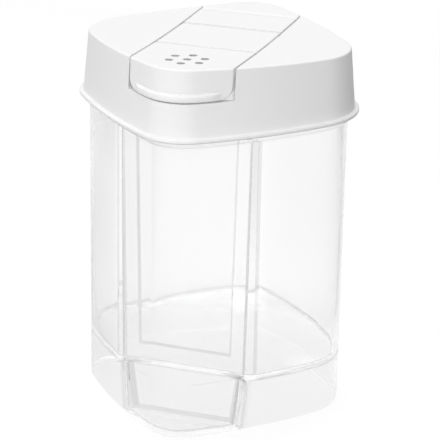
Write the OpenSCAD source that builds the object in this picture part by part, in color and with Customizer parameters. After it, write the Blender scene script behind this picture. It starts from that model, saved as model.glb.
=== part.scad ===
// Grated cheese shaker: clear square container with a front well, and a white lid with two hinged flaps.
// Millimetres. +Z is up, the perforated flap's nose points along -Y, and z = 0 is the table.

/* [Container] */
// Width of the container across two opposite sides
body_w = 83; // [76:1:92]
// Radius of the gentle outward bow of each side
side_bow_r = 175; // [150:5:260]
// Radius of the front and rear corners
nose_r = 14; // [11:0.5:16]
// Radius of the left and right corners
side_corner_r = 21; // [17:0.5:24]
// Height of the container's wall under the lid
shoulder_z = 112.7; // [95:0.5:135]
// Thickness of the container's walls
wall = 1.6; // [1.2:0.1:2]
// Height of the collar that the lid stands on
collar_h = 2.4; // [1.5:0.1:4]
// How far the collar stands out
collar_out = 0.9; // [0.6:0.1:1.3]
// Height of the neck inside the lid
neck_h = 6; // [4:0.5:8]
// How far the neck is set in from the container's outline
neck_in = 0.4; // [0.2:0.05:0.5]

/* [Floor and well] */
// Height of the main floor's upper face above the table
floor_z = 20.3; // [14:0.1:28]
// Thickness of the main floor
floor_t = 1.6; // [1.2:0.1:2.4]
// Distance from the centre to the rear face of the partition
partition_y = 30.6; // [27:0.1:33]
// Thickness of the partition
partition_t = 1.6; // [1.2:0.1:2]
// Half width of the well above the floor
well_half = 23.4; // [21:0.1:24.5]
// Half width of the well's foot at the table
foot_half = 18.6; // [16:0.1:20]
// Length of the bevel on the foot's corners
foot_bevel = 4; // [3:0.25:5]
// Thickness of the plate that closes the foot
foot_plate_t = 1.6; // [1.2:0.1:2.4]
// Thickness of the foot's outer wall
foot_wall = 1.9; // [1.7:0.1:2.4]
// Half width of the thin window in the partition
panel_half = 17; // [13:0.25:18]
// Height of the window's lower edge above the main floor
panel_rise = 7; // [5:0.5:12]
// Depth of the window
panel_depth = 0.5; // [0.2:0.1:0.7]

/* [Lid] */
// Height of the lid above its lower edge, at the centre
lid_h = 23.3; // [20:0.1:28]
// How far the lid's top edge stands outside the container's side
lid_top_out = 0.3; // [0:0.1:1]
// How far the lid's wall stands out at its lower edge
lid_foot_out = 2.4; // [2.3:0.1:3.2]
// How far the flange stands out
flange_out = 3.8; // [3.4:0.1:4.8]
// Thickness of the flange
flange_t = 1.3; // [0.9:0.1:2]
// Thickness of the lid's walls
lid_wall = 1.5; // [1.2:0.1:1.7]
// Clearance between the neck and the ring that stands on the collar
seat_clear = 0.5; // [0.3:0.05:0.6]
// How far the lid's top rises towards both ends of the strip
top_dish = 1.3; // [0:0.1:2]
// How much the nose end rises above the rear end
top_tilt = 0.7; // [0:0.1:1.2]

/* [Strip] */
// Half width of the channel across the lid
channel_half = 19.4; // [16:0.1:20]
// Gap between the channel and the strip, on each side
strip_gap = 0.8; // [0.4:0.1:1.2]
// Thickness of the flaps
flap_t = 1.8; // [1.4:0.1:2.2]
// Clearance under and behind the flaps
flap_clear = 0.4; // [0.3:0.05:0.6]
// Distance from the centre to each hinge line
hinge_y = 14.5; // [12:0.25:16]
// Width of the hinge groove
groove_w = 2; // [1.8:0.1:2.6]
// Depth of the groove over the film hinge
groove_depth = 0.3; // [0.2:0.05:0.4]
// Thickness of the film hinge
film_t = 0.4; // [0.3:0.05:0.5]
// Height of each flap's skirt at the nose
skirt_h = 11; // [8:0.1:12]
// Height of the thumb lip
lip_h = 2.4; // [1.6:0.1:3]
// How far the thumb lip stands outside the lid's top edge
lip_out = 1.8; // [1.2:0.1:2.4]
// Half width of the thumb lip
lip_half = 15; // [10:0.25:16]
// Radius of the skirt's lower corners
skirt_r = 4; // [2:0.25:5]
// Depth of the notch in the lid under the skirt
notch_drop = 0.9; // [0.6:0.1:2]

/* [Flap details] */
// Diameter of the shaker holes
hole_d = 3; // [2.4:0.1:4]
// Radius of the ring of holes
hole_ring_r = 6.3; // [5.5:0.1:7]
// Distance from the centre of the lid to the middle of the ring
hole_ring_y = 34; // [31:0.25:35]
// Number of holes in the ring
hole_count = 6; // [5:1:7]
// Distance from the centre to the grip line on the rear flap
grip_y = 35.6; // [31:0.1:38]
// Half width of each mouth under its flap
mouth_half = 14.6; // [12:0.1:15]
// Distance from the centre to the near edge of each mouth
mouth_near_y = 20.5; // [19.5:0.25:22]
// Wall left between each mouth and the end of the lid
mouth_end = 7.2; // [6.4:0.1:8]
// Thickness of the rim that plugs each mouth
rim_t = 1.2; // [0.8:0.1:1.6]
// Depth of the rim below the flap
rim_h = 2.4; // [1.6:0.1:3]
// Clearance between the rim and its mouth
rim_clear = 0.5; // [0.4:0.05:0.7]
// Diameter of the pegs under the fixed bridge
peg_d = 5; // [4:0.1:6]
// Distance between the two pegs
peg_spacing = 22; // [16:0.5:26]
// Clearance around each peg
peg_clear = 0.1; // [0.05:0.05:0.2]
// How far each peg reaches below the channel's floor
peg_tail = 1.5; // [1:0.1:2]

/* [Hidden] */
$fn = 48;
corner_steps = 8;
side_steps = 5;
profile_steps = 16;
overrun = 1;
slice_t = 0.01;

half_w = body_w / 2;
corner_radii = [nose_r, side_corner_r, nose_r, side_corner_r];
lid_z = shoulder_z;
top_z = lid_z + lid_h;
rim_z = lid_z + neck_h;
span = 2 * body_w;
end_y = corner_mid(half_w, side_bow_r, nose_r) + nose_r;
profile_y = end_y + flange_out + overrun;
top_max_z = top_z + 2 * (top_dish + top_tilt);
flap_half = channel_half - strip_gap;
flap_near = hinge_y + groove_w / 2;
skin_z = -flap_t - flap_clear;
skirt_z = top_z + top_dish + top_tilt - skirt_h;
notch_z = skirt_z - notch_drop;
seat_out = seat_clear - neck_in;
partition_front = partition_y + partition_t;
ledge_z = shoulder_z - wall;

// Distance from the centre to the middle of a corner arc of radius r on sides h away that bow with radius b.
function corner_mid(h, b, r) =
    (h - b) * cos(45) + sqrt(pow(b - r, 2) - pow((h - b) * sin(45), 2));
// Half of the angle that such a corner arc covers.
function corner_half(h, b, r) =
    atan2((b - h) * sin(45), corner_mid(h, b, r) + (b - h) * cos(45));
// Points of an arc about [x, y], both ends included.
function arc(x, y, r, from, to, steps) =
    [for (i = [0:steps]) let (a = from + (to - from) * i / steps) [x + r * cos(a), y + r * sin(a)]];
// Points inside an arc, both ends left out.
function arc_inner(x, y, r, from, to, steps) =
    [for (i = [1:steps - 1]) let (a = from + (to - from) * i / steps) [x + r * cos(a), y + r * sin(a)]];
// The outline of the container, grown by out: four bowed sides and four round corners, the nose first.
function outline(out) =
    let (h = half_w + out, b = side_bow_r + out)
    [for (k = [0:3])
        let (turn = 90 * k - 90,
             r = corner_radii[k] + out,
             r_next = corner_radii[(k + 1) % 4] + out,
             mid = corner_mid(h, b, r),
             half = corner_half(h, b, r),
             half_next = corner_half(h, b, r_next),
             bow = h - b)
        each concat(
            arc(mid * cos(turn), mid * sin(turn), r, turn - half, turn + half, corner_steps),
            arc_inner(bow * cos(turn + 45), bow * sin(turn + 45), b,
                      turn + half, turn + 90 - half_next, side_steps))];
// The part of a convex outline where n * point is no more than d.
function cut(points, n, d) =
    let (count = len(points))
    [for (i = [0:count - 1])
        let (p = points[i], q = points[(i + 1) % count], p_over = n * p - d, q_over = n * q - d)
        each concat(p_over <= 0 ? [p] : [],
                    p_over * q_over < 0 ? [p + (q - p) * p_over / (p_over - q_over)] : [])];
// The front of the outline: what lies in front of y = -front, no wider than half to each side.
function front_part(out, front, half) =
    cut(cut(cut(outline(out), [0, 1], -front), [1, 0], half), [-1, 0], half);
// The D of the well's foot: the front of the outline with its two rear corners bevelled.
function foot_part(out, front, half) =
    cut(cut(front_part(out, front, half + foot_bevel), [1, 1], half - front), [-1, 1], half - front);
// Height of the lid's top surface above its middle, at a distance y from the centre.
function crown(y) = top_dish * pow(y / end_y, 2) - top_tilt * y / end_y;

// A straight block with the container's outline.
module block(out, low, high) {
    translate([0, 0, low])
        linear_extrude(high - low)
            polygon(outline(out));
}

// A block whose outline changes from out_low at the bottom to out_high at the top.
module taper(out_low, out_high, low, high) {
    hull() {
        block(out_low, low, low + slice_t);
        block(out_high, high - slice_t, high);
    }
}

// The lid's own tapered form, shrunk by inset, from its lower edge up to well above its top.
module lid_form(inset) {
    slope = (lid_foot_out - lid_top_out) / lid_h;
    taper(lid_foot_out - inset, lid_foot_out - inset - slope * (top_max_z - lid_z), lid_z, top_max_z);
}

// Everything between two offsets from the lid's top surface.
module under_top(low, high) {
    ys = [for (i = [0:profile_steps]) profile_y * (2 * i / profile_steps - 1)];
    lower = [for (y = ys) [y, top_z + crown(y) + low]];
    upper = [for (i = [profile_steps:-1:0]) [ys[i], top_z + crown(ys[i]) + high]];
    rotate([90, 0, 90])
        linear_extrude(span, center = true)
            polygon(concat(lower, upper));
}

// A box given by its two corners.
module span_box(low, high) {
    translate(low)
        cube(high - low);
}

// The foot of the well, from low to a little above the main floor, narrower at the table.
module foot_form(out, front, inset, low) {
    flare = well_half - foot_half - foot_bevel / 2;
    hull() {
        translate([0, 0, low])
            linear_extrude(slice_t)
                polygon(foot_part(out, front, foot_half - inset));
        translate([0, 0, floor_z])
            linear_extrude(overrun)
                polygon(foot_part(out, front, foot_half + flare - inset));
    }
}

// Clear container: skirt, raised main floor, partition, front well with its closed foot, collar and neck.
module body() {
    color([0.94, 0.95, 0.96, 0.35])
        difference() {
            union() {
                block(0, 0, shoulder_z);
                block(-neck_in, shoulder_z - overrun, rim_z);
                block(collar_out, shoulder_z - collar_h, shoulder_z);
            }
            // Main chamber
            translate([0, 0, floor_z])
                linear_extrude(ledge_z - floor_z)
                    polygon(cut(outline(-wall), [0, -1], partition_y));
            // Front well above the floor
            translate([0, 0, floor_z])
                linear_extrude(ledge_z - floor_z)
                    polygon(front_part(-wall, partition_front, well_half));
            // Inside of the neck, above the partition
            block(-neck_in - wall, ledge_z - overrun, rim_z + overrun);
            // Inside of the well's foot
            foot_form(-foot_wall, partition_front, partition_t / 2, foot_plate_t);
            // Hollow under the main floor, around the foot
            difference() {
                block(-wall, -overrun, floor_z - floor_t);
                foot_form(overrun, partition_y, 0, -2 * overrun);
            }
            // Thin window in the partition
            span_box([-panel_half, -partition_front - overrun, floor_z + panel_rise],
                     [panel_half, -partition_front + panel_depth, ledge_z]);
        }
}

// The sunk channel of the strip, grown by grow: the slot along the top and a recess at each end.
module channel(grow) {
    half = channel_half + grow;
    intersection() {
        under_top(skin_z - grow, span);
        span_box([-half, -span, lid_z], [half, span, top_max_z + overrun]);
    }
    difference() {
        span_box([-half, -span, notch_z - grow], [half, span, top_max_z + overrun]);
        lid_form(flap_t + flap_clear + grow);
    }
}

// The opening under a flap, shrunk by inset, as a column at the front.
module mouth_form(inset) {
    translate([0, 0, notch_z])
        linear_extrude(span)
            polygon(front_part(-mouth_end - inset, mouth_near_y + inset, mouth_half - inset));
}

// Where the two pegs of the bridge stand.
module peg_places() {
    for (side = [-1, 1])
        translate([side * peg_spacing / 2, 0, 0])
            children();
}

// White cap: walls, flange, skin, sunk channel with a mouth under each flap and two holes for the bridge's pegs.
module lid() {
    color([0.97, 0.97, 0.97])
        difference() {
            union() {
                intersection() {
                    lid_form(0);
                    under_top(-span, 0);
                }
                block(flange_out, lid_z, lid_z + flange_t);
            }
            // Hollow of the cap, which stops short of the channel
            difference() {
                intersection() {
                    union() {
                        difference() {
                            lid_form(lid_wall);
                            block(flange_out, lid_z - overrun, lid_z + flange_t);
                        }
                        block(seat_out, lid_z - overrun, lid_z + flange_t + slice_t);
                    }
                    under_top(-span, -lid_wall);
                }
                channel(lid_wall);
            }
            channel(0);
            for (turn = [0, 180])
                rotate([0, 0, turn])
                    mouth_form(0);
            peg_places()
                translate([0, 0, notch_z])
                    cylinder(d = peg_d + 2 * peg_clear, h = span);
        }
}

// The form of the strip: as wide as the flaps, with its top flush with the lid's.
module strip_form(low, high) {
    intersection() {
        under_top(low, high);
        span_box([-flap_half, -span, lid_z], [flap_half, span, top_max_z]);
        lid_form(0);
    }
}

// Fixed middle of the strip, seated on the channel's floor and held by two pegs.
module centre_bridge() {
    reach = hinge_y - groove_w / 2;
    color([0.98, 0.98, 0.98]) {
        intersection() {
            strip_form(skin_z, 0);
            span_box([-span, -reach, lid_z], [span, reach, top_max_z]);
        }
        peg_places()
            translate([0, 0, top_z + skin_z - lid_wall - peg_tail])
                cylinder(d = peg_d, h = lid_wall + peg_tail + flap_t / 2);
    }
}

// Thin web that bends between the bridge and a flap.
module film_hinge(side) {
    color([0.95, 0.95, 0.95])
        intersection() {
            strip_form(-groove_depth - film_t, -groove_depth);
            span_box([-span, side * hinge_y - groove_w / 2, lid_z], [span, side * hinge_y + groove_w / 2, top_max_z]);
        }
}

module front_film_hinge() {
    film_hinge(-1);
}

module rear_film_hinge() {
    film_hinge(1);
}

// The two rounded lower corners that are taken off a skirt.
module skirt_corners() {
    round = arc(flap_half - skirt_r, skirt_z + skirt_r, skirt_r, 0, -90, corner_steps);
    ends = [[flap_half - skirt_r, lid_z], [flap_half + overrun, lid_z], [flap_half + overrun, skirt_z + skirt_r]];
    for (side = [0, 1])
        mirror([side, 0, 0])
            rotate([90, 0, 0])
                linear_extrude(span, center = true)
                    polygon(concat(round, ends));
}

// A flap at the front: plate, skirt down the lid's end, thumb lip, and the rim that plugs the mouth.
module flap(low, high) {
    difference() {
        union() {
            intersection() {
                union() {
                    strip_form(-flap_t, 0);
                    difference() {
                        strip_form(-skirt_h - overrun, 0);
                        lid_form(flap_t);
                    }
                }
                span_box([-span, low, skirt_z], [span, high, top_max_z]);
            }
            // Thumb lip along the skirt's lower edge
            intersection() {
                difference() {
                    block(lid_top_out + lip_out, skirt_z, skirt_z + lip_h);
                    lid_form(flap_t);
                }
                span_box([-lip_half, low, lid_z], [lip_half, high, top_max_z]);
            }
        }
        skirt_corners();
    }
    // Rim that plugs the mouth
    intersection() {
        under_top(-flap_t - rim_h, -flap_t / 2);
        rotate([0, 0, low < 0 ? 0 : 180])
            difference() {
                mouth_form(rim_clear);
                mouth_form(rim_clear + rim_t);
            }
    }
}

// Perforated pouring flap at the nose.
module front_flap() {
    color([0.99, 0.99, 0.99])
        difference() {
            flap(-span, -flap_near);
            for (i = [0:hole_count])
                translate([0, -hole_ring_y, lid_z])
                    rotate([0, 0, 360 * i / hole_count])
                        translate([0, i < hole_count ? -hole_ring_r : 0, 0])
                            cylinder(d = hole_d, h = span);
        }
}

// Closed flap at the rear, with a shallow grip line across it.
module rear_flap() {
    color([0.98, 0.98, 0.98])
        difference() {
            flap(flap_near, span);
            intersection() {
                under_top(-groove_depth, span);
                span_box([-span, grip_y - groove_w / 2, lid_z], [span, grip_y + groove_w / 2, top_max_z + overrun]);
            }
        }
}

body();
lid();
centre_bridge();
front_film_hinge();
rear_film_hinge();
front_flap();
rear_flap();
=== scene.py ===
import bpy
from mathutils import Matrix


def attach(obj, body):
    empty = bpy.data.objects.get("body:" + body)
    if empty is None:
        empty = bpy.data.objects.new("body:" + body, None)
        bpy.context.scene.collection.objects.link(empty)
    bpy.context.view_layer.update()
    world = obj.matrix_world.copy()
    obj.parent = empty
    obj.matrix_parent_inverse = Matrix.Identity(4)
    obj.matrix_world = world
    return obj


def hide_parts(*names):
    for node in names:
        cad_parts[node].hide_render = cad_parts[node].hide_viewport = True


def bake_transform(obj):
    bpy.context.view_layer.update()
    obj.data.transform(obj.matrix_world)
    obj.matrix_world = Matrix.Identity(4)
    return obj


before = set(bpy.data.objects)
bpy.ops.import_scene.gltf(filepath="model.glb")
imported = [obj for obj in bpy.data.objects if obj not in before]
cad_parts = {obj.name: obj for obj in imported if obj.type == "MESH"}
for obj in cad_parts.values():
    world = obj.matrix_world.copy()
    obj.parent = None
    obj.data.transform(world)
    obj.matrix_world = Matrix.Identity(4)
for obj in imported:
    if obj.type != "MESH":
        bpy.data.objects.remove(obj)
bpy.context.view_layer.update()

import math

import bmesh
import bpy
import numpy as np
from mathutils import Matrix, Vector
from mathutils.geometry import delaunay_2d_cdt, tessellate_polygon

# Container
# One clear, thin injection moulding: a bowed square wall on a skirt, with a raised floor. A partition shuts
# off a well in the nose, whose foot goes down to the table. The cap is pushed over its neck.

side_half = 41.5
bow_r = 175.0
corner_r = np.array([14.0, 21.0, 14.0, 21.0])
bow_reach = (bow_r - side_half) * math.sqrt(0.5)
corner_mid = np.sqrt((bow_r - corner_r) ** 2 - bow_reach**2) - bow_reach
corner_half = np.degrees(np.arctan2(bow_reach, corner_mid + bow_reach))
nose_y = corner_mid[0] + corner_r[0]
wall, partition_y, partition_t = 1.6, 30.6, 1.6
well_front = partition_y + partition_t
shoulder_z, ledge_z, rim_z = 112.7, 110.1, 118.7
floor_z, floor_t, plate_t = 20.3, 1.6, 1.6
window_low, window_depth = 27.3, 0.6
mirror = np.array([-1, 1])


def plan(theta, out):
    """Plan points of the container's outline grown by out, where its outward normal has the angle theta in
    degrees. The outline is four round corners joined by four bowed sides, all of them arcs, so a point is
    the middle of its arc plus (radius + out) times the normal."""
    theta, out = np.broadcast_arrays(np.asarray(theta, float), np.asarray(out, float))
    turn = (theta + 90.0) % 360.0
    corner = np.round(turn / 90.0).astype(int) % 4
    on_corner = np.abs(turn - 90.0 * np.round(turn / 90.0)) <= corner_half[corner]
    corner_axis = np.radians(90.0 * corner - 90.0)
    side_axis = np.radians(90.0 * np.floor(turn / 90.0) - 45.0)
    reach = np.where(on_corner, corner_mid[corner], side_half - bow_r)
    axis = np.where(on_corner, corner_axis, side_axis)
    radius = np.where(on_corner, corner_r[corner], bow_r) + out
    angle = np.radians(theta)
    return np.stack([reach * np.cos(axis) + radius * np.cos(angle),
                     reach * np.sin(axis) + radius * np.sin(angle)], -1)


def spread(stops, counts):
    """Numbers that run evenly between the stops, in the given counts of steps, the last stop included."""
    return np.interp(np.arange(sum(counts) + 1), np.cumsum([0, *counts]), stops)


def arc(mid_a, mid_b, radius, start, end, steps):
    """Points (a, b) of an arc in a profile, its angles in degrees."""
    angle = np.radians(np.linspace(start, end, steps + 1))
    return np.stack([mid_a + radius * np.cos(angle), mid_b + radius * np.sin(angle)], -1)


def bend(before, corner, after, radius, steps):
    """Points of the arc that rounds a corner: its middle lies on the corner's bisector, radius from both
    sides."""
    u, v = (np.asarray(p, float) - corner for p in (before, after))
    u, v = u / np.linalg.norm(u), v / np.linalg.norm(v)
    half = math.acos(np.clip(u @ v, -1, 1)) / 2
    mid = corner + (u + v) / np.linalg.norm(u + v) * radius / math.sin(half)
    start, end = (np.asarray(corner) + w * radius / math.tan(half) - mid for w in (u, v))
    first = math.atan2(start[1], start[0])
    swing = (math.atan2(end[1], end[0]) - first + math.pi) % (2 * math.pi) - math.pi
    angle = first + swing * np.linspace(0, 1, steps + 1)
    return mid + radius * np.stack([np.cos(angle), np.sin(angle)], -1)


def inset(loop, depth):
    """A closed loop, counter-clockwise, moved inwards by depth along the mitre of the two edges at each
    point."""
    edge = np.roll(loop, -1, 0) - loop
    edge = edge / np.linalg.norm(edge, axis=1, keepdims=True)
    inward = np.stack([-edge[:, 1], edge[:, 0]], -1)
    both = inward + np.roll(inward, 1, 0)
    return loop + depth * 2 * both / np.sum(both * both, 1, keepdims=True)


def at_height(loop, z):
    """A plan loop as points in space."""
    return np.column_stack([loop, np.broadcast_to(z, len(loop))])


def grid(rows, closed=False):
    """(points, faces) of a stack of rows of points, joined by quads; closed joins the last column to the
    first."""
    rows = np.asarray(rows, float)
    height, width = rows.shape[:2]
    i = np.arange(height - 1)[:, None] * width
    j = np.arange(width if closed else width - 1)[None, :]
    k = (j + 1) % width
    quads = np.stack([i + j, i + k, i + width + k, i + width + j], -1).reshape(-1, 4)
    return rows.reshape(-1, 3), quads.tolist()


def cap_face(loop):
    """(points, faces) of one flat face round a loop."""
    return np.asarray(loop, float), [list(range(len(loop)))]


def plate_with_holes(loops):
    """(points, faces) of a flat sheet between an outer loop and the loops of its holes."""
    faces = tessellate_polygon([[Vector(p) for p in loop] for loop in loops])
    return np.vstack(loops), [list(face) for face in faces]


def mesh_piece(name, patches, sharp=32, gap=0.004):
    """A mesh object in metres from patches in millimetres. Points less than gap apart become one, faces
    turn outwards, and edges sharper than the angle sharp stay crisp in the shading."""
    starts = np.cumsum([0] + [len(points) for points, _ in patches])
    points = np.vstack([points for points, _ in patches]) / 1000
    faces = [[int(i) + int(start) for i in face]
             for (_, some), start in zip(patches, starts) for face in some]
    mesh = bpy.data.meshes.new(name)
    mesh.from_pydata(points.tolist(), [], faces)
    work = bmesh.new()
    work.from_mesh(mesh)
    bmesh.ops.remove_doubles(work, verts=work.verts, dist=gap / 1000)
    bmesh.ops.dissolve_degenerate(work, edges=work.edges, dist=1e-7)
    bmesh.ops.recalc_face_normals(work, faces=work.faces)
    work.to_mesh(mesh)
    work.free()
    mesh.polygons.foreach_set("use_smooth", np.ones(len(mesh.polygons), bool))
    mesh.set_sharp_from_angle(angle=math.radians(sharp))
    piece = bpy.data.objects.new(name, mesh)
    bpy.context.scene.collection.objects.link(piece)
    return piece


def side_angle_at_y(y, out):
    """Normal angle, on the front right side, of the outline's point at this y."""
    return math.degrees(math.asin((y - bow_reach) / (bow_r + out)))


def side_angle_at_slant(total, out):
    """Normal angle, on the front right side, of the outline's point whose x + y is total."""
    radius = bow_r + out
    u = (total + math.sqrt(2 * radius**2 - total**2)) / 2
    return math.degrees(math.atan2(total - u, u))


around = spread([-90 - corner_half[0], -90 + corner_half[0], -corner_half[1], corner_half[1],
                 90 - corner_half[0], 90 + corner_half[0], 180 - corner_half[1], 180 + corner_half[1],
                 270 - corner_half[0]], [28, 12, 32, 12, 28, 12, 32, 12])[:-1]


def outer_row(out, z):
    """A row of points round the container at a height z, out mm outside its outline."""
    return at_height(plan(around, out), z)


joint_rows = (18.5, 19.0, 20.0, 20.6)
base_r, under_r, collar_low, collar_out, collar_r = 0.9, 0.4, 110.3, 0.9, 0.3
neck_in, neck_inner, rim_r = 0.4, 1.2, 0.35
outer_profile = np.vstack([
    arc(-base_r, base_r, base_r, -90, 0, 5), [[0, z] for z in (*joint_rows, 40, 80, 109.7)],
    arc(under_r, collar_low - under_r, under_r, 180, 90, 3),
    arc(collar_out - collar_r, collar_low + collar_r, collar_r, -90, 0, 3),
    arc(collar_out - collar_r, shoulder_z - collar_r, collar_r, 0, 90, 3),
    arc(collar_r - neck_in, shoulder_z + collar_r, collar_r, 270, 180, 3),
    arc(-neck_in - rim_r, rim_z - rim_r, rim_r, 0, 90, 4),
    arc(rim_r - neck_inner, rim_z - rim_r, rim_r, 90, 180, 4), [[-neck_inner, ledge_z]]])
container_skin = [grid([outer_row(out, z) for out, z in outer_profile], closed=True)]

chamber_turn, chamber_r = 1.3, 1.8
foot_half, foot_flare, foot_turn = 18.6, 2.8, 0.7
recess_r, recess_end_r = 3.5, 1.0


def rear_run(start):
    """Plan points inside the wall from the direction start, round the rear, to the mirror of start."""
    stops = [start, -corner_half[1], corner_half[1], 90 - corner_half[0], 90 + corner_half[0],
             180 - corner_half[1], 180 + corner_half[1], 180 - start]
    return plan(spread(stops, [6, 28, 8, 24, 8, 28, 6]), -wall)


def chamber_loop():
    """Plan loop of the main chamber: the outline inside the wall, cut off by the partition."""
    turn = side_angle_at_y(-partition_y, -wall)
    run, corner = rear_run(turn + chamber_turn), plan(turn, -wall)
    right = bend(corner * mirror, corner, run[0], chamber_r, 4)
    return np.vstack([right, run, (right * mirror)[::-1]])


def foot_reach(z):
    """Half the foot's width at a height z: it flares from the table up to the floor."""
    return foot_half + foot_flare * np.clip(z / floor_z, 0, 1)


def recess_loop(z):
    """Plan loop of the hollow under the floor: the outline inside the skirt, less the well's foot."""
    first = np.array([foot_reach(z), -partition_y])
    turn = side_angle_at_slant(first.sum(), -wall)
    run, second = rear_run(turn + foot_turn), plan(turn, -wall)
    right = np.vstack([bend(first * mirror, first, second, recess_r, 6),
                       bend(first, second, run[0], recess_end_r, 5)])
    return np.vstack([right, run, (right * mirror)[::-1]])


flank, well_draft, crease = 0.6, 1.0, 0.15
well_nose_steps = [5, 24, 5]
nose_points = sum(well_nose_steps) + 1
post_r, post_draft, window_half, window_draft = 0.75, 0.5, 16.4, 1.5
foot_inset, foot_outer_r, foot_inner_r, foot_flat = 0.8, 1.5, 3.0, 12.0


def well_flat(half):
    """The flat of the well against the partition, from right to left, with points close to both edges of
    the window's step."""
    right_side = half + np.array([window_depth + crease, window_depth, 0, -crease])
    edges = np.concatenate([right_side, [0], -right_side[::-1]])
    return np.column_stack([edges, np.full(len(edges), -well_front)])


def close_well(nose, right, half):
    """Plan loop of the well from its nose, its right corner with the mirror of that, and its flat."""
    return np.vstack([nose, right, well_flat(half), right[::-1] * mirror])


def nose_run(turn):
    """Plan points inside the wall round the nose, between the two directions turn and its mirror."""
    stops = [-180 - turn, -90 - corner_half[0], -90 + corner_half[0], turn]
    return plan(spread(stops, well_nose_steps), -wall)


def upper_well(z):
    """Plan loop of the well above the floor: one round corner at each side, where the wall meets the
    partition. Its posts and its window have a draft, wider towards the top."""
    rise = (z - floor_z) / (ledge_z - floor_z)
    turn = side_angle_at_y(-well_front, -wall)
    nose, corner = nose_run(turn - well_draft), plan(turn, -wall)
    along = (nose[-1] - corner) / np.linalg.norm(nose[-1] - corner)
    rounded = bend(nose[-1], corner, corner * mirror, post_r - post_draft * rise, 9)
    right = np.vstack([rounded[0] + flank * along, rounded, rounded[-1] - [flank, 0]])
    return close_well(nose, right, window_half + window_draft * rise)


def lower_well(z):
    """Plan loop of the well's foot: a D, whose flat ends at each side in two corners with a short slant."""
    first = np.array([foot_reach(z) - foot_inset, -well_front])
    turn = side_angle_at_slant(first.sum(), -wall)
    nose, second = nose_run(turn - foot_turn), plan(turn, -wall)
    lower = bend(nose[-1], second, first, foot_outer_r, 5)
    upper = bend(second, first, first * mirror, foot_inner_r, 5)
    return close_well(nose, np.vstack([lower, upper]), foot_flat)


def on_flat(loop):
    """The indices of a well loop's points on the flat, from right to left."""
    count = len(well_flat(0))
    start = len(loop) - count - (len(loop) - nose_points - count) // 2
    return np.arange(start, start + count)


def window_push(loop, z):
    """The window of the partition: its points inside the frame move its depth away from the well."""
    pushed = loop.copy()
    pushed[on_flat(loop)[2:-2], 1] += window_depth * (z > window_low)
    return pushed


def inset_corners(loop, depth):
    """A well loop whose two corners alone move inwards by depth: its nose stays on the wall and its flat on
    the partition, and nothing goes behind the partition."""
    moved = inset(loop, depth)
    kept = np.column_stack([moved[:, 0], np.minimum(moved[:, 1], -well_front)])
    kept[:nose_points] = loop[:nose_points]
    kept[on_flat(loop), 1] = -well_front
    return kept


def rounding(radius, degrees):
    """Pairs of distances to a rounding's two flats: radius * (1 - sin) and radius * (1 - cos) per angle."""
    angle = np.radians(degrees)
    return radius * np.column_stack([1 - np.sin(angle), 1 - np.cos(angle)])


def cup(loop_at, top, bottom, fillet, lip):
    """Rows of a hollow whose plan loop is loop_at(z): a rounded lip at top, the wall, and a fillet of that
    radius round to the flat bottom. It is closed by one flat face."""
    up = 1 if top > bottom else -1
    rows = [at_height(inset(loop_at(top), -a), top - up * b) for a, b in rounding(lip, [0, 30, 60, 90])]
    rows += [at_height(loop_at(z), z) for z in np.linspace(top - up * lip, bottom + up * fillet, 5)[1:]]
    rows += [at_height(inset(loop_at(bottom), b), bottom + up * a)
             for a, b in rounding(fillet, [18, 36, 54, 72, 90])]
    return rows


chamber_rows = cup(lambda z: chamber_loop(), ledge_z, floor_z, 0.6, 0.25)
recess_rows = cup(recess_loop, 0.0, floor_z - floor_t, 0.5, 0.35)

well_lip_r, well_fillet, foot_lip_r, foot_fillet = 0.2, 0.8, 0.5, 1.2
foot_mid_z, foot_low_z = 12, 2.9
well_rows = [at_height(inset_corners(upper_well(ledge_z), -a), ledge_z - b)
             for a, b in rounding(well_lip_r, [0, 45, 90])]
well_rows += [at_height(window_push(upper_well(z), z), z)
              for z in (109.8, 80, 50, window_low + 0.7, window_low + 0.5, window_low, window_low - 0.2)]
well_rows += [at_height(inset_corners(upper_well(floor_z), b), floor_z + a)
              for a, b in rounding(well_fillet, [0, 20, 40, 60, 80])]
well_rows += [at_height(inset_corners(lower_well(floor_z), -a), floor_z - b)
              for a, b in rounding(foot_lip_r, [0, 30, 60, 90])]
well_rows += [at_height(lower_well(foot_mid_z), foot_mid_z), at_height(lower_well(plate_t + 1.0), foot_low_z)]
well_rows += [at_height(inset(lower_well(plate_t), b), plate_t + a)
              for a, b in rounding(foot_fillet, [15, 36, 54, 72, 90])]

container_skin += [grid(rows, closed=True) for rows in (chamber_rows, well_rows, recess_rows)]
container_skin += [cap_face(rows[-1]) for rows in (chamber_rows, well_rows, recess_rows)]
container_skin += [plate_with_holes([outer_row(-neck_inner, ledge_z), chamber_rows[0], well_rows[0]]),
                   plate_with_holes([outer_row(-base_r, 0.0), recess_rows[0]])]
container = mesh_piece("container", container_skin, sharp=50)


def face_table(piece):
    """The middles, in millimetres, and the normals of a piece's faces."""
    middle, normal = np.empty(len(piece.data.polygons) * 3), np.empty(len(piece.data.polygons) * 3)
    piece.data.polygons.foreach_get("center", middle)
    piece.data.polygons.foreach_get("normal", normal)
    return middle.reshape(-1, 3) * 1000, normal.reshape(-1, 3)


def store(piece, name, share):
    """Keeps one number for each face of a piece, as an attribute that its material reads."""
    piece.data.attributes.new(name, "FLOAT", "FACE").data.foreach_set("value", share)


def outline_gap(x, y):
    """How far inside the container's outline plan points lie, measured along the radius from the middle:
    the outline's own radius is read from a fine ring of its points by their direction."""
    ring = plan(np.arange(-180, 180, 0.5), 0)
    direction = np.arctan2(ring[:, 1], ring[:, 0])
    order = np.argsort(direction)
    reach = np.interp(np.arctan2(y, x), direction[order], np.hypot(*ring[order].T), period=2 * math.pi)
    return reach - np.hypot(x, y)


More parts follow.
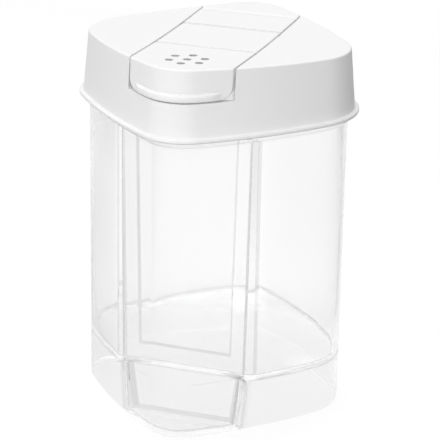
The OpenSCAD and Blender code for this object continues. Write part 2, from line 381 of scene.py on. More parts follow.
def bend_rate(piece):
    """How sharply a piece bends at each face, per millimetre: the largest angle to a neighbouring face,
    over the distance between the two faces' middles."""
    mesh = piece.data
    middle, normal = face_table(piece)
    corners, edge = np.empty(len(mesh.polygons), int), np.empty(len(mesh.loops), int)
    mesh.polygons.foreach_get("loop_total", corners)
    mesh.loops.foreach_get("edge_index", edge)
    order = np.argsort(edge, kind="stable")
    face = np.repeat(np.arange(len(middle)), corners)[order]
    shared = edge[order][1:] == edge[order][:-1]
    one, other = face[:-1][shared], face[1:][shared]
    angle = np.arccos(np.clip(np.sum(normal[one] * normal[other], 1), -1, 1))
    rate = angle / np.linalg.norm(middle[one] - middle[other], axis=1)
    sharpest = np.zeros(len(middle))
    np.maximum.at(sharpest, one, rate)
    np.maximum.at(sharpest, other, rate)
    return sharpest


# The attribute edge says how sharply a face bends, 0 to 1, and marks the floor's joint with the wall. The
# plastic is painted greyer there: painted shade for the dark lines that reflection and refraction draw at
# bends and at that joint. The edges at the table and under the cap's flange stay pale.
plain_rate, rate_range, table_z = 0.15, 0.2, 0.8
skin_depth, joint_painted_share = 0.2, 0.9
face_x, face_y, face_z = face_table(container)[0].T
bend_painted_shade = np.clip((bend_rate(container) - plain_rate) / rate_range, 0, 1)
bend_painted_shade[face_z < table_z] = 0
bend_painted_shade *= np.interp(face_z, (collar_low - 2.3, collar_low - 0.3), (1, 0.3))
joint_painted_shade = np.interp(face_z, (18.4, *joint_rows[1:]), (0, joint_painted_share, joint_painted_share, 0))
in_skin = (outline_gap(face_x, face_y) < skin_depth) & (face_y > -partition_y)
store(container, "edge", np.maximum(bend_painted_shade, joint_painted_shade * in_skin))


def feed(tree, socket, value):
    """Sets a socket to a number or a colour, or links it to another node's output."""
    if isinstance(value, bpy.types.NodeSocket):
        tree.links.new(value, socket)
    else:
        socket.default_value = value


def math_node(tree, operation, *values):
    """The output of a Math node that is fed with the values in order."""
    node = tree.nodes.new("ShaderNodeMath")
    node.operation = operation
    for socket, value in zip(node.inputs, values):
        feed(tree, socket, value)
    return node.outputs[0]


def range_node(tree, value, start, end, low, high, kind="LINEAR"):
    """The output of a Map Range node: a value from start to end becomes one from low to high."""
    node = tree.nodes.new("ShaderNodeMapRange")
    node.interpolation_type = kind
    names = ("Value", "From Min", "From Max", "To Min", "To Max")
    for name, number in zip(names, (value, start, end, low, high)):
        feed(tree, node.inputs[name], number)
    return node.outputs["Result"]


def mix_node(tree, factor, a, b, kind="FLOAT"):
    """The output of a Mix node between two numbers, or between two colours where the kind is RGBA."""
    node = tree.nodes.new("ShaderNodeMix")
    node.data_type = kind
    for name, value in (("Factor", factor), ("A", a), ("B", b)):
        feed(tree, node.inputs[name], value)
    return node.outputs["Result"]


def grey(tone):
    """A neutral colour of this tone."""
    return (tone, tone, tone, 1)


def bsdf_material(name, **sockets):
    """A new material; each given number or colour is set on its Principled BSDF's own socket."""
    material = bpy.data.materials.new(name)
    material.use_nodes = True
    shader = material.node_tree.nodes["Principled BSDF"]
    for socket, value in sockets.items():
        shader.inputs[socket.replace("_", " ")].default_value = value
    return material, shader


def grain_group():
    """Node group: the fine grain of a mould as a height, and its broad patches for the roughness."""
    group = bpy.data.node_groups.new("moulded grain", "ShaderNodeTree")
    group.interface.new_socket("Scale", in_out="INPUT", socket_type="NodeSocketFloat")
    enter, place = group.nodes.new("NodeGroupInput"), group.nodes.new("ShaderNodeTexCoord")
    leave = group.nodes.new("NodeGroupOutput")
    for name, scale_share in (("Height", 1.0), ("Patches", 0.03)):
        group.interface.new_socket(name, in_out="OUTPUT", socket_type="NodeSocketFloat")
        noise = group.nodes.new("ShaderNodeTexNoise")
        noise.inputs["Detail"].default_value = 3.0
        feed(group, noise.inputs["Scale"], math_node(group, "MULTIPLY", enter.outputs["Scale"], scale_share))
        feed(group, noise.inputs["Vector"], place.outputs["Object"])
        feed(group, leave.inputs[name], noise.outputs["Fac"])
    return group


moulded_grain = grain_group()


def add_grain(material, shader, scale, depth, rough_low, rough_high):
    """Places the grain in a material: its height bumps the normal, its broad patches move the roughness."""
    tree = material.node_tree
    grain, bump = tree.nodes.new("ShaderNodeGroup"), tree.nodes.new("ShaderNodeBump")
    grain.node_tree = moulded_grain
    feed(tree, grain.inputs["Scale"], scale)
    feed(tree, bump.inputs["Strength"], 1.0)
    feed(tree, bump.inputs["Distance"], depth)
    feed(tree, bump.inputs["Height"], grain.outputs["Height"])
    feed(tree, shader.inputs["Normal"], bump.outputs["Normal"])
    rough = range_node(tree, grain.outputs["Patches"], 0.0, 1.0, rough_low, rough_high)
    feed(tree, shader.inputs["Roughness"], rough)


def tone_by_attribute(material, shader, name, plain, marked):
    """Links a material's colour to a face attribute: the grey tone plain where it is 0, marked where 1."""
    tree = material.node_tree
    share = tree.nodes.new("ShaderNodeAttribute")
    share.attribute_name = name
    tone = mix_node(tree, share.outputs["Fac"], grey(plain), grey(marked), "RGBA")
    feed(tree, shader.inputs["Base Color"], tone)


# Shadow and diffuse rays, mirrored echoes and deep rays pass the plastic almost straight on: it stays clear.
clear_plastic, shader = bsdf_material("clear plastic", Base_Color=grey(0.995), IOR=1.42,
                                      Transmission_Weight=0.97)
add_grain(clear_plastic, shader, 60.0, 0.000003, 0.05, 0.1)
# Painted shade: where the attribute edge is marked, the clear plastic is painted greyer, for the dark lines
# that refraction and reflection draw at bends and at the floor's joint.
tone_by_attribute(clear_plastic, shader, "edge", 0.998, 0.7)
tree = clear_plastic.node_tree
path = tree.nodes.new("ShaderNodeLightPath").outputs
deep = math_node(tree, "GREATER_THAN", path["Ray Depth"], 7.5)
echo = math_node(tree, "GREATER_THAN", path["Glossy Depth"], 0.5)
light_through = math_node(tree, "MAXIMUM", path["Is Shadow Ray"], path["Is Diffuse Ray"])
straight_on = math_node(tree, "MAXIMUM", light_through, math_node(tree, "MAXIMUM", deep, echo))
feed(tree, shader.inputs["Alpha"], range_node(tree, straight_on, 0.0, 1.0, 1.0, 0.1))
body_tint = tree.nodes.new("ShaderNodeVolumeAbsorption")
body_tint.inputs["Color"].default_value = grey(0.5)
body_tint.inputs["Density"].default_value = 8.0
feed(tree, tree.nodes["Material Output"].inputs["Volume"], body_tint.outputs["Volume"])
container.data.materials.append(clear_plastic)
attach(container, "container")
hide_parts("body")

# Cap
# One white moulding pushed over the neck: a tapered wall on a small flange, a slightly dished top, and a
# sunk channel from corner to corner for the strip, with a mouth under each flap and a notch at each end.

lid_z, top_z, notch_z = shoulder_z, 136.0, 126.1
wall_low_out, wall_taper, crown, nose_rise = 2.4, 2.1, 1.3, 0.7
lid_wall, edge_r, inner_edge_r = 1.5, 0.6, 0.4
channel_half, channel_depth = 19.4, 2.2


def wall_out(z):
    """How far the cap's tapered wall stands outside the container's outline at a height z."""
    return wall_low_out - wall_taper * (z - lid_z) / (top_z - lid_z)


def top_at(y):
    """Height of the cap's top at y: it rises towards both ends, and more towards the nose."""
    return top_z + crown * (y / nose_y) ** 2 - nose_rise * y / nose_y


def cut_angle(half, out):
    """Normal angle at which the front right side of the outline, grown by out, crosses x = half."""
    return -np.degrees(np.arccos((half + bow_reach) / (bow_r + np.asarray(out, float))))


nose_steps, cheek_steps = [4, 26, 4], [8, 30, 8]
nose_count, cheek_count = sum(nose_steps), sum(cheek_steps)


def turns(half, out):
    """Normal angles round the cap for each offset in out, as rows: the nose between the channel's sides,
    the right cheek, the rear and the left cheek. Each stretch has the same count of steps in every row."""
    cut = np.broadcast_to(cut_angle(half, out), np.shape(out))
    nose_arc, side_arc = corner_half[0], corner_half[1]
    stops = [-180 - cut, -90 - nose_arc, -90 + nose_arc, cut, -side_arc, side_arc, -cut,
             90 - nose_arc, 90 + nose_arc, 180 + cut, 180 - side_arc, 180 + side_arc, 180 - cut]
    stops = np.stack([np.broadcast_to(s, np.shape(out)) for s in stops], -1)
    marks = np.cumsum([0] + (nose_steps + cheek_steps) * 2)
    step = np.arange(marks[-1] + 1)
    which = np.clip(np.searchsorted(marks, step, side="right") - 1, 0, len(marks) - 2)
    share = (step - marks[which]) / (marks[which + 1] - marks[which])
    return stops[..., which] * (1 - share) + stops[..., which + 1] * share


nose_columns = np.arange(nose_count + 1)
right_columns = nose_count + np.arange(cheek_count + 1)
rear_columns = nose_count + cheek_count + np.arange(nose_count + 1)
left_columns = 2 * nose_count + cheek_count + np.arange(cheek_count + 1)


def rings(half, out, z):
    """Closed rows of points round the cap, one for each offset out and height z."""
    points = plan(turns(half, out)[:, :-1], np.asarray(out, float)[:, None])
    height = np.broadcast_to(np.asarray(z, float)[:, None], points.shape[:2])
    return np.concatenate([points, height[..., None]], -1)


def cap_row(columns, half, out):
    """Plan points of some of the cap's columns, out mm outside the container's outline."""
    return plan(turns(half, np.array([out]))[0, columns], out)


def cheek(columns, half, g, sign):
    """Rows of a cheek's skin, g mm inside the outside: up the wall from the notch, round the edge, and
    across the top along x to the channel's side, so that every row runs round the cheek."""
    radius = max(edge_r - g, inner_edge_r)
    low, rows = notch_z - g, []
    for share in np.linspace(0, 1, 6):
        xy = cap_row(columns, half, wall_out(low + share * (top_z - radius - notch_z)) - g)
        rows.append(np.column_stack([xy, low + share * (top_at(xy[:, 1]) - g - radius - low)]))
    for a, b in rounding(radius, np.linspace(0, 90, 8)[1:]):
        xy = cap_row(columns, half, wall_out(top_z - radius) - g - b)
        rows.append(np.column_stack([xy, top_at(xy[:, 1]) - g - a]))
    edge = rows[-1]
    for share in np.linspace(0, 1, 9)[1:]:
        rows.append(np.column_stack([edge[:, 0] * (1 - share) + sign * half * share, edge[:, 1:]]))
    return rows


def end_rows(columns, half, g, floor_drop):
    """Rows of a channel's end: the notch's floor from the wall inwards, then the back wall up to the
    channel."""
    low = notch_z - g
    rows = [at_height(cap_row(columns, half, wall_out(low) - g - share * channel_depth), low)
            for share in (0, 0.5, 1)]
    for share in np.linspace(0, 1, 6)[1:]:
        xy = cap_row(columns, half, wall_out(low + share * (top_z - floor_drop - low)) - g - channel_depth)
        rows.append(np.column_stack([xy, low + share * (top_at(xy[:, 1]) - floor_drop - low)]))
    return rows


mouth_half, mouth_near, mouth_end, mouth_centre = 14.6, 20.5, 7.2, 31.0
mouth_turn, mouth_end_r, mouth_near_r = 1.5, 1.2, 1.5


def mouth_reach(angles):
    """Distance from a mouth's middle to its rim in each direction, read from the front rim's outline."""
    turn = cut_angle(mouth_half, -mouth_end)
    nose = plan(np.linspace(-180 - turn + mouth_turn, turn - mouth_turn, 60), -mouth_end)
    corner, near = plan(turn, -mouth_end), np.array([mouth_half, -mouth_near])
    right = np.vstack([bend(nose[-1], corner, near, mouth_end_r, 8),
                       bend(corner, near, near * mirror, mouth_near_r, 8)])
    rim = np.vstack([nose, right, (right * mirror)[::-1]]) + [0, mouth_centre]
    dense = np.vstack([rim, rim[:1]])
    shares = np.linspace(0, 1, 8, endpoint=False)
    steps = np.concatenate([dense[:-1] + (dense[1:] - dense[:-1]) * share for share in shares])
    rim_angle = np.arctan2(steps[:, 1], steps[:, 0])
    order = np.argsort(rim_angle)
    return np.interp(angles, rim_angle[order], np.hypot(*steps[order].T), period=2 * math.pi)


strip_mid_y, side_steps, cross_steps, mid_steps = 18.0, 10, 16, 12


def channel_floor(half, end, sign):
    """Plan loop of one half of the channel's floor, from the middle strip round the end and back."""
    right, left = [half, sign * strip_mid_y], [-half, sign * strip_mid_y]
    down = np.linspace(right, end[-1, :2], side_steps + 1)
    back = np.linspace(end[0, :2], left, side_steps + 1)
    return np.vstack([down[:-1], end[:0:-1, :2], back[:-1], np.linspace(left, right, cross_steps + 1)[:-1]])


def on_top(xy, drop):
    """Plan points set at a depth below the cap's top."""
    return np.column_stack([xy, top_at(xy[:, 1]) - drop])


def cap_skin(g, mouths):
    """Patches of the cap's skin from the notch upwards, g mm inside its outside. mouths holds the plan
    loops of the two mouths and is filled by the first call, so that both skins share them."""
    half, drop = channel_half + g, channel_depth + g
    cheeks = {1: cheek(right_columns, half, g, 1), -1: cheek(left_columns, half, g, -1)}
    ends = {-1: end_rows(nose_columns, half, g, drop), 1: end_rows(rear_columns, half, g, drop)}
    patches = [grid(rows) for rows in (*cheeks.values(), *ends.values())]
    for sign in (-1, 1):
        loop = channel_floor(half, ends[sign][-1][::-sign], sign)
        if sign not in mouths:
            away = loop - [0, sign * mouth_centre]
            angles = np.arctan2(-sign * away[:, 1], away[:, 0])
            reach = mouth_reach(angles)
            rim_y = sign * (mouth_centre - reach * np.sin(angles))
            mouths[sign] = np.column_stack([reach * np.cos(angles), rim_y])
        rows = [on_top(loop * (1 - t) + mouths[sign] * t, drop) for t in np.linspace(0, 1, 5)]
        patches.append(grid(rows, closed=True))
    ys = np.linspace(-strip_mid_y, strip_mid_y, mid_steps + 1)
    xs = np.linspace(-half, half, cross_steps + 1)
    patches.append(grid([on_top(np.column_stack([xs, np.full(len(xs), y)]), drop) for y in ys]))
    for sign, rows in cheeks.items():
        # The channel's side wall is one flat face. The ends' rows run the other way round than the cheek's.
        front, rear = (0, -1) if sign == 1 else (-1, 0)
        side = [row[front] for row in rows[:14]] + list(rows[-1][1:-1][::sign])
        side += [row[rear] for row in rows[:14][::-1]] + [row[front] for row in ends[1][1:]]
        rear_line = np.linspace(ends[1][-1][front][:2], [sign * half, strip_mid_y], side_steps + 1)
        middle_line = np.column_stack([np.full(mid_steps - 1, sign * half), ys[::-1][1:-1]])
        front_line = np.linspace([sign * half, -strip_mid_y], ends[-1][-1][rear][:2], side_steps + 1)
        side += list(on_top(np.vstack([rear_line[1:], middle_line, front_line]), drop))
        side += [row[rear] for row in ends[-1][1:-1][::-1]]
        patches.append(cap_face(side))
    return patches


flange_out, flange_t, flange_r, fillet_z = 3.8, 1.3, 0.4, 114.5
flange_top = lid_z + flange_t
seat_out, seat_z, tuck_z, tuck_r, inner_low_z = 0.1, 114.0, 113.0, 0.3, 114.4
low_z = np.linspace(114.8, notch_z, 4)[1:]
flange_rows = np.vstack([
    [[seat_out, seat_z], [seat_out, tuck_z]], arc(seat_out + tuck_r, lid_z + tuck_r, tuck_r, 180, 270, 3),
    arc(flange_out - flange_r, lid_z + flange_r, flange_r, -90, 0, 5),
    arc(flange_out - flange_r, flange_top - flange_r, flange_r, 0, 90, 5),
    arc(wall_out(fillet_z) + flange_r, flange_top + flange_r, flange_r, 270, 185, 4),
    np.column_stack([wall_out(low_z), low_z])])
inner_z = np.linspace(inner_low_z, notch_z - lid_wall, 4)
mouths = {}
cap_patches = [grid(rings(channel_half, flange_rows[:, 0], flange_rows[:, 1]), closed=True)]
cap_patches += cap_skin(0.0, mouths) + cap_skin(lid_wall, mouths)
inside = np.vstack([rings(channel_half, np.array([seat_out]), np.array([seat_z])),
                    rings(channel_half + lid_wall, wall_out(inner_z) - lid_wall, inner_z)])
cap_patches.append(grid(inside, closed=True))
cap_patches += [grid([on_top(loop, channel_depth), on_top(loop, channel_depth + lid_wall)], closed=True)
                for loop in mouths.values()]
cap = mesh_piece("cap", cap_patches)


def soften(piece, width, segments=2):
    """A small rounding of the piece's sharp edges."""
    bevel = piece.modifiers.new("rounded edges", "BEVEL")
    bevel.limit_method = "ANGLE"
    bevel.angle_limit = math.radians(50)
    bevel.width = width / 1000
    bevel.segments = segments
    bevel.harden_normals = True
    bevel.miter_outer = "MITER_ARC"


# The attribute shade says how deep in shade a face lies, 0 to 1. The white plastic is darker there.
soften(cap, 0.25)
middle, normal = face_table(cap)
underside_z, underside_shade = 113.3, 0.65
store(cap, "shade", underside_shade * ((middle[:, 2] < underside_z) & (normal[:, 2] < -0.25)))
white_plastic, shader = bsdf_material("white plastic", IOR=1.49)
add_grain(white_plastic, shader, 2600.0, 0.00001, 0.46, 0.58)
tone_by_attribute(white_plastic, shader, "shade", 0.9, 0.12)
cap.data.materials.append(white_plastic)
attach(cap, "cap")
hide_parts("lid")

# Bridge
# The fixed middle of the strip: a white plate that lies on the channel's floor.
# Two pegs through that floor hold it.

flap_half, groove_half, hinge_y = 18.6, 1.0, 14.5
bridge_end = hinge_y - groove_half
peg_x, peg_r, peg_edge_r, peg_top_z, peg_low_z = 11, 2.5, 0.5, 133.95, 131.3


def strip_row(y, drop):
    """A row of points across the strip at y, at a depth below the cap's top."""
    xs = np.linspace(-flap_half, flap_half, 17)
    return on_top(np.column_stack([xs, np.full(len(xs), y)]), drop)


def strip_block(y_low, y_high, drop_low, drop_high, steps):
    """Patches of a slab of the strip between two lines across it, with its bottom and its top a drop below
    the cap's top."""
    ys = np.linspace(y_low, y_high, steps + 1)
    section = [strip_row(y, drop_high) for y in ys] + [strip_row(y, drop_low) for y in ys[::-1]]
    return [grid(section + section[:1])] + [cap_face([row[i] for row in section]) for i in (0, -1)]


def peg(x):
    """A peg under the bridge: a cylinder with a rounded end, closed at both ends."""
    turn = np.radians(np.arange(0, 360, 12))
    profile = np.vstack([[[peg_r, peg_top_z], [peg_r, peg_low_z]],
                         arc(peg_r - peg_edge_r, peg_low_z, peg_edge_r, 0, -90, 4)])
    rows = [np.column_stack([x + r * np.cos(turn), r * np.sin(turn), np.full(len(turn), z)])
            for r, z in profile]
    return [grid(rows, closed=True), cap_face(rows[0]), cap_face(rows[-1])]


def gap_faces(piece, y):
    """Which of a piece's faces stand across the strip, at y or at -y."""
    middle, normal = face_table(piece)
    return (np.abs(np.abs(middle[:, 1]) - y) < 0.05) & (np.abs(normal[:, 1]) > 0.7)


bridge_patches = strip_block(-bridge_end, bridge_end, channel_depth, 0, 10) + peg(-peg_x) + peg(peg_x)
bridge = mesh_piece("centre_bridge_plate", bridge_patches)
soften(bridge, 0.2)
gap_shade = 0.2
store(bridge, "shade", gap_shade * gap_faces(bridge, bridge_end))
bridge.data.materials.append(white_plastic)
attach(bridge, "cap")
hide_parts("centre_bridge")

# Flaps
# Two white mouldings on film hinges: the front one is pierced for shaking, the rear one is closed and has a
# grip line. Each has a skirt down the cap's end with a thumb lip, and under it a rim that plugs its mouth.

flap_near, flap_t, flap_edge_r, flap_inner_r = hinge_y + groove_half, 1.8, 0.6, 0.5
skirt_low, skirt_r = 126.8, 4.0
lip_out, lip_from, lip_to = 2.1, 13.8, 15.4
lip_profile = ((133.5, 0), (131.5, 0), (130.2, 0), (130.0, -0.03), (129.8, -0.22), (129.55, -0.28),
               (129.35, 0.1), (129.25, 0.6), (129.1, 0.88), (128.8, 1), (128.2, 1), (127.6, 1), (127.2, 0.93),
               (126.9, 0.75), (126.8, 0.5))
hole_r, hole_ring_r, hole_ring_y = 1.5, 6.3, 34.0
rim_gap, rim_t, rim_drop, rim_sink, rim_edge = 0.5, 1.2, 2.4, 0.5, 0.4
grip_y, grip_half, grip_depth, bore_shade = 35.6, 0.6, 0.2, 0.5
flap_columns = flap_half - skirt_r + skirt_r * np.sin(np.radians(np.linspace(0, 90, 9)))
flap_columns = np.concatenate([-flap_columns[::-1], np.linspace(-14.6, 14.6, 31)[1:-1], flap_columns])
hole_turn = np.radians(np.arange(0, 360, 15))
hole_circle = np.column_stack([np.cos(hole_turn), np.sin(hole_turn)])


def outline_y(x, out):
    """How far from the middle the outline grown by out reaches at x, on the corner's or the side's arc."""
    x = np.abs(x)
    on_arc = corner_mid[0] + np.sqrt(np.maximum((corner_r[0] + out) ** 2 - x**2, 0))
    on_side = np.sqrt((bow_r + out) ** 2 - (x + bow_reach) ** 2) - bow_reach
    return np.where(x <= (corner_r[0] + out) * math.sin(math.radians(corner_half[0])), on_arc, on_side)


def ease(value, low, high):
    """0 below low, 1 above high, and smooth between."""
    t = np.clip((value - low) / (high - low), 0, 1)
    return t * t * (3 - 2 * t)


def flap_rows(sign, x):
    """Rows of the flap's section at each x, from the near edge over the top, round the nose, down the skirt
    with its lip, and back along the inside. Returns the rows in groups: the top, the outside and the
    inside, the underside."""
    def place(y, z):
        """A row of the section's points, at y outwards from the middle and a height z."""
        return np.column_stack([x, np.broadcast_to(sign * y, x.shape), np.broadcast_to(z, x.shape)])

    corner = np.clip(np.abs(x) - (flap_half - skirt_r), 0, skirt_r)
    low = skirt_low + skirt_r - np.sqrt(skirt_r**2 - corner**2)
    edge_out = wall_out(top_z - flap_edge_r)
    start = outline_y(x, edge_out - flap_edge_r)
    top = []
    for share in np.linspace(0, 1, 8):
        y = flap_near + share * (grip_y - grip_half - flap_near)
        top.append(place(y, top_at(sign * y)))
    top.append(place(grip_y, top_at(sign * grip_y) - grip_depth * (sign > 0)))
    for share in np.linspace(0, 1, 7):
        y = grip_y + grip_half + share * (start - grip_y - grip_half)
        top.append(place(y, top_at(sign * y)))
    outside = []
    for a, b in rounding(flap_edge_r, np.linspace(0, 90, 8)):
        y = outline_y(x, edge_out - a)
        outside.append(place(y, top_at(sign * y) - b))
    high = outside[-1][:, 2]
    squeeze = (high - low) / (high - skirt_low)
    swell = 1 - ease(np.abs(x), lip_from, lip_to)
    for z, lift in lip_profile:
        level = low + (z - skirt_low) * squeeze
        base = wall_out(level)
        outside.append(place(outline_y(x, base + swell * lift * (lip_out - base)), level))
    inside_out = wall_out(top_z) - flap_t
    ceiling = top_at(sign * outline_y(x, inside_out)) - flap_t - flap_inner_r
    for share in (0, 0.25, 0.5, 0.75, 1):
        level = low + share * (ceiling - low)
        outside.append(place(outline_y(x, wall_out(level) - flap_t), level))
    far = outline_y(x, inside_out - flap_inner_r)
    under = []
    for share in np.linspace(1, 0, 11):
        y = flap_near + share * (far - flap_near)
        under.append(place(y, top_at(sign * y) - flap_t))
    return top, outside, under


def hole_distance(xy, holes):
    """Distance in plan from each point to the nearest hole's middle."""
    return np.min(np.linalg.norm(xy[:, None] - holes[None], axis=2), axis=1, initial=99)


def pierced_sheet(rows, sign, drop, holes):
    """(points, faces) of the sheet that fills a stack of rows, with round holes. It is triangulated in plan
    from the rows' own outer points, the rims of the holes with a ring of points round each, and a lattice
    between them."""
    ring_gap, hole_clear, border_clear, lattice_step = 0.5, 1.3, 1.2, 2.0
    first, last = rows[0][:, :2], rows[-1][:, :2]
    sides = [np.array([row[i, :2] for row in rows[1:-1]]) for i in (-1, 0)]
    border = np.vstack([first, sides[0], last[::-1], sides[1][::-1]])
    lattice = np.meshgrid(np.arange(-17, 17.1, lattice_step), sign * np.arange(17, 49, lattice_step))
    lattice = np.stack(lattice, -1).reshape(-1, 2)
    clear = hole_distance(lattice, holes) > hole_r + hole_clear
    half = last[last[:, 0] >= 0]
    limit = np.interp(np.abs(lattice[:, 0]), np.abs(half[:, 0]), np.abs(half[:, 1]))
    lattice = lattice[clear & (np.abs(lattice[:, 1]) < limit - border_clear)]
    rims = [hole + radius * hole_circle for radius in (hole_r, hole_r + ring_gap) for hole in holes]
    points = np.vstack([border, *rims, lattice])
    edges = [(i, (i + 1) % len(border)) for i in range(len(border))]
    count = len(hole_circle)
    rim_starts = [len(border) + count * hole for hole in range(len(holes))]
    edges += [(start + i, start + (i + 1) % count) for start in rim_starts for i in range(count)]
    xy, _, faces, *_ = delaunay_2d_cdt([Vector(p) for p in points], edges, [], 1, 1e-5)
    xy = np.array([tuple(p) for p in xy])
    faces = np.array([list(f) for f in faces])
    outside_holes = hole_distance(xy[faces].mean(1), holes) > hole_r * 0.985
    return on_top(xy, drop), faces[outside_holes].tolist()


def rim_band(sign):
    """(points, faces) of the rim that plugs a mouth: a closed band set into the flap's underside."""
    angles = np.radians(np.arange(0, 360, 4))
    reach = mouth_reach(angles)
    loop = np.column_stack([reach * np.cos(angles), reach * np.sin(angles) - mouth_centre])
    outer, inner = (inset(loop, depth) * [1, -sign] for depth in (rim_gap, rim_gap + rim_t))
    bottom = flap_t + rim_drop
    root = flap_t - rim_sink
    profile = ((0, root), (0, bottom - rim_edge), (0.25, bottom), (0.75, bottom), (1, bottom - rim_edge),
               (1, root), (0, root))
    return grid([on_top(outer * (1 - share) + inner * share, drop) for share, drop in profile], closed=True)


def flap_piece(name, sign, holes):
    """A flap with its skirt, lip and rim: skin rows joined by quads, flat faces at both sides, and the
    rim's band."""
    top, outside, under = flap_rows(sign, flap_columns)
    patches = [grid(outside), grid([outside[-1], under[0]]), grid([under[-1], top[0]]), rim_band(sign)]
    patches += [cap_face([row[i] for row in top + outside[1:] + under]) for i in (0, -1)]
    if len(holes):
        patches += [pierced_sheet(top, sign, 0, holes), pierced_sheet(under[::-1], sign, flap_t, holes)]
        patches += [grid([on_top(hole + hole_r * hole_circle, drop) for drop in (0, flap_t)], closed=True)
                    for hole in holes]
    else:
        patches += [grid(top), grid(under)]
    piece = mesh_piece(name, patches)
    soften(piece, 0.2)
    middle, normal = face_table(piece)
    bore = (hole_distance(middle[:, :2], holes) < hole_r + 0.05) & (np.abs(normal[:, 2]) < 0.3)
    store(piece, "shade", gap_shade * gap_faces(piece, flap_near) + bore_shade * bore)
    piece.data.materials.append(white_plastic)
    return piece


ring_turn = np.radians(np.arange(6) * 60 + 90)
hole_ring = hole_ring_r * np.column_stack([np.cos(ring_turn), np.sin(ring_turn)])
holes = np.vstack([[[0, 0]], hole_ring]) - [0, hole_ring_y]
front_flap = flap_piece("shaker_flap", -1, holes)
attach(front_flap, "pour_flap")
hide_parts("front_flap")

rear_flap = flap_piece("spoon_flap_piece", 1, np.zeros((0, 2)))
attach(rear_flap, "spoon_flap")
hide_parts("rear_flap")

# Film hinges
# The thin webs that join the bridge to the flaps.
# They are moulded with the strip.

film_drop, film_t, film_overlap, film_shade = 0.3, 0.4, 0.1, 0.15
for name, sign, flap_body in (("front_film", -1, "pour_flap"), ("rear_film", 1, "spoon_flap")):
    ends_y = sign * (bridge_end - film_overlap), sign * (flap_near + film_overlap)
    film = mesh_piece(name, strip_block(*ends_y, film_drop + film_t, film_drop, 8))
    store(film, "shade", np.full(len(film.data.polygons), film_shade))
    film.data.materials.append(white_plastic)
    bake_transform(film)
    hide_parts(name + "_hinge")

# Studio
# A white floor, a white world and soft lamps, at the height and side that the photograph was taken from.

floor_level, floor_left, floor_right, floor_half = -0.00002, -0.5, 0.13, 0.5
floor_corners = [(floor_left, -floor_half, floor_level), (floor_right, -floor_half, floor_level),
                 (floor_right, floor_half, floor_level), (floor_left, floor_half, floor_level)]
floor_mesh = bpy.data.meshes.new("floor")
floor_mesh.from_pydata(floor_corners, [], [(0, 1, 2, 3)])
floor = bpy.data.objects.new("floor", floor_mesh)
bpy.context.scene.collection.objects.link(floor)


def vector_node(tree, operation, *values):
    """The number that a Vector Math node gives for the values."""
    node = tree.nodes.new("ShaderNodeVectorMath")
    node.operation = operation
    for socket, value in zip(node.inputs, values):
        feed(tree, socket, value)
    return node.outputs["Value"]


def tone_ramp(tree, value, tones):
    """The output of a Color Ramp node with a grey tone at each place from 0 to 1."""
    node = tree.nodes.new("ShaderNodeValToRGB")
    ramp = node.color_ramp
    for place, tone in tones[1:-1]:
        ramp.elements.new(place).color = grey(tone)
    ramp.elements[0].color = grey(tones[0][1])
    ramp.elements[-1].color = grey(tones[-1][1])
    feed(tree, node.inputs["Fac"], value)
    return node.outputs["Color"]


# The camera sees a plain white floor. The clear plastic reflects and refracts one with painted light and
# shade: its glow gets darker to the sides, has a painted contact shadow under the object, and is even again
# far away.
across = (0.949, 0.316, 0)
floor_paint, shader = bsdf_material("floor paint", Base_Color=grey(0.75), Roughness=0.8)
tree = floor_paint.node_tree
path = tree.nodes.new("ShaderNodeLightPath").outputs
place = tree.nodes.new("ShaderNodeTexCoord").outputs["Object"]
sideways, distance = vector_node(tree, "DOT_PRODUCT", place, across), vector_node(tree, "LENGTH", place)
# Painted light and shade: the floor's glow gets darker towards both sides.
painted_side_light = tone_ramp(tree, math_node(tree, "MULTIPLY_ADD", sideways, 2.5, 0.5),
                  ((0, 0.75), (0.1, 0.75), (0.3, 0.85), (0.41, 1.065), (0.7, 1.09), (0.92, 0.82), (1, 0.82)))
evened = mix_node(tree, range_node(tree, distance, 0.15, 0.5, 0.0, 1.0, "SMOOTHSTEP"), painted_side_light, 1.07)
# Painted contact shadow: the floor's glow is darker under the object.
painted_contact_shadow = range_node(tree, distance, 0.035, 0.11, 0.87, 1.0, "SMOOTHSTEP")
through = math_node(tree, "MAXIMUM", path["Is Glossy Ray"], path["Is Transmission Ray"])
glow, surface = tree.nodes.new("ShaderNodeEmission"), tree.nodes.new("ShaderNodeMixShader")
reflected = math_node(tree, "MULTIPLY", painted_contact_shadow, evened)
feed(tree, glow.inputs["Strength"], mix_node(tree, through, 1.2, reflected))
seen = math_node(tree, "MULTIPLY", path["Is Camera Ray"], 0.65)
shown = math_node(tree, "MULTIPLY", through, 0.9)
feed(tree, surface.inputs[0], math_node(tree, "MAXIMUM", seen, shown))
feed(tree, surface.inputs[1], shader.outputs[0])
feed(tree, surface.inputs[2], glow.outputs[0])
feed(tree, tree.nodes["Material Output"].inputs["Surface"], surface.outputs[0])
floor.data.materials.append(floor_paint)

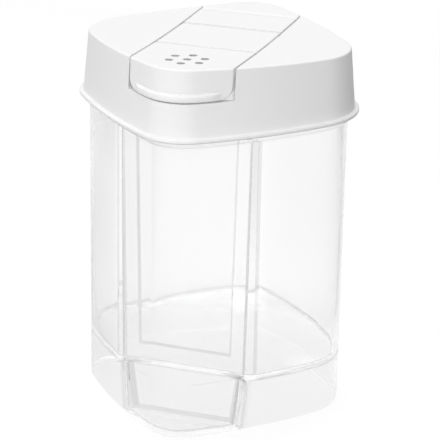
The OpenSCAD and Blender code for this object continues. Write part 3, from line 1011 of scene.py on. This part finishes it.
# The camera sees a white room. Its light fades out on one side. What the plastic reflects and refracts is a
# room whose walls get darker to the left and right.
dark_side = (0.98, 0.17, -0.1)
world = bpy.data.worlds.new("white room")
bpy.context.scene.world = world
world.use_nodes = True
tree = world.node_tree
path = tree.nodes.new("ShaderNodeLightPath").outputs
direction = tree.nodes.new("ShaderNodeTexCoord").outputs["Generated"]
toward_dark = vector_node(tree, "DOT_PRODUCT", direction, dark_side)
room = range_node(tree, toward_dark, 0.3, 0.95, 1.0, 0.0, "SMOOTHSTEP")
sideways = vector_node(tree, "DOT_PRODUCT", direction, across)
walls = tone_ramp(tree, math_node(tree, "MULTIPLY_ADD", sideways, 0.5, 0.5),
                  ((0, 0.5), (0.12, 0.6), (0.35, 1.07), (0.8, 1.07), (0.92, 0.85), (1, 0.5)))
mirrored = math_node(tree, "MAXIMUM", path["Is Glossy Ray"], path["Is Transmission Ray"])
shown = mix_node(tree, mirrored, math_node(tree, "MULTIPLY", room, 0.44), walls)
background = tree.nodes["Background"]
background.inputs["Color"].default_value = (1, 1, 1, 1)
feed(tree, background.inputs["Strength"], math_node(tree, "MAXIMUM", path["Is Camera Ray"], shown))


def lamp(name, place, target, size, power):
    """A square soft box at place that faces target."""
    light = bpy.data.lights.new(name, "AREA")
    light.shape, light.size, light.energy = "SQUARE", size, power
    source = bpy.data.objects.new(name, light)
    turn = (Vector(target) - Vector(place)).to_track_quat("-Z", "Y")
    source.matrix_world = Matrix.Translation(place) @ turn.to_matrix().to_4x4()
    bpy.context.scene.collection.objects.link(source)


lamp("top", (-0.1, 0.2, 1.2), (0, 0, 0.1), 0.8, 4.6)
lamp("front_right", (0.45, -0.9, 0.6), (0, 0, 0.1), 0.6, 6.0)
lamp("left", (-0.8, -0.5, 0.8), (0, 0, 0.1), 0.6, 2.5)

# The camera was fitted to the photograph: its place, its axes, and its focal length and middle in pixels.
image_side, focal_px, middle_px, middle_py, sensor = 440, 2029.7, 215.73, 212.32, 36.0
back = Vector((0.2962, -0.8875, 0.3529))
right = Vector((0.9465, 0.3223, 0.0163))
up = Vector((-0.1282, 0.3292, 0.9355))
eye = bpy.data.cameras.new("camera")
eye.sensor_width, eye.lens = sensor, focal_px / image_side * sensor
eye.shift_x = (image_side / 2 - middle_px) / image_side
eye.shift_y = (middle_py - image_side / 2) / image_side
eye.clip_start, eye.clip_end = 0.05, 20
camera = bpy.data.objects.new("camera", eye)
axes = Matrix([right, up, back]).transposed().to_4x4()
camera.matrix_world = Matrix.Translation((0.2225, -0.6668, 0.3341)) @ axes
bpy.context.scene.collection.objects.link(camera)
bpy.context.scene.camera = camera
bpy.context.scene.view_settings.view_transform = "Standard"

bpy.context.view_layer.update()
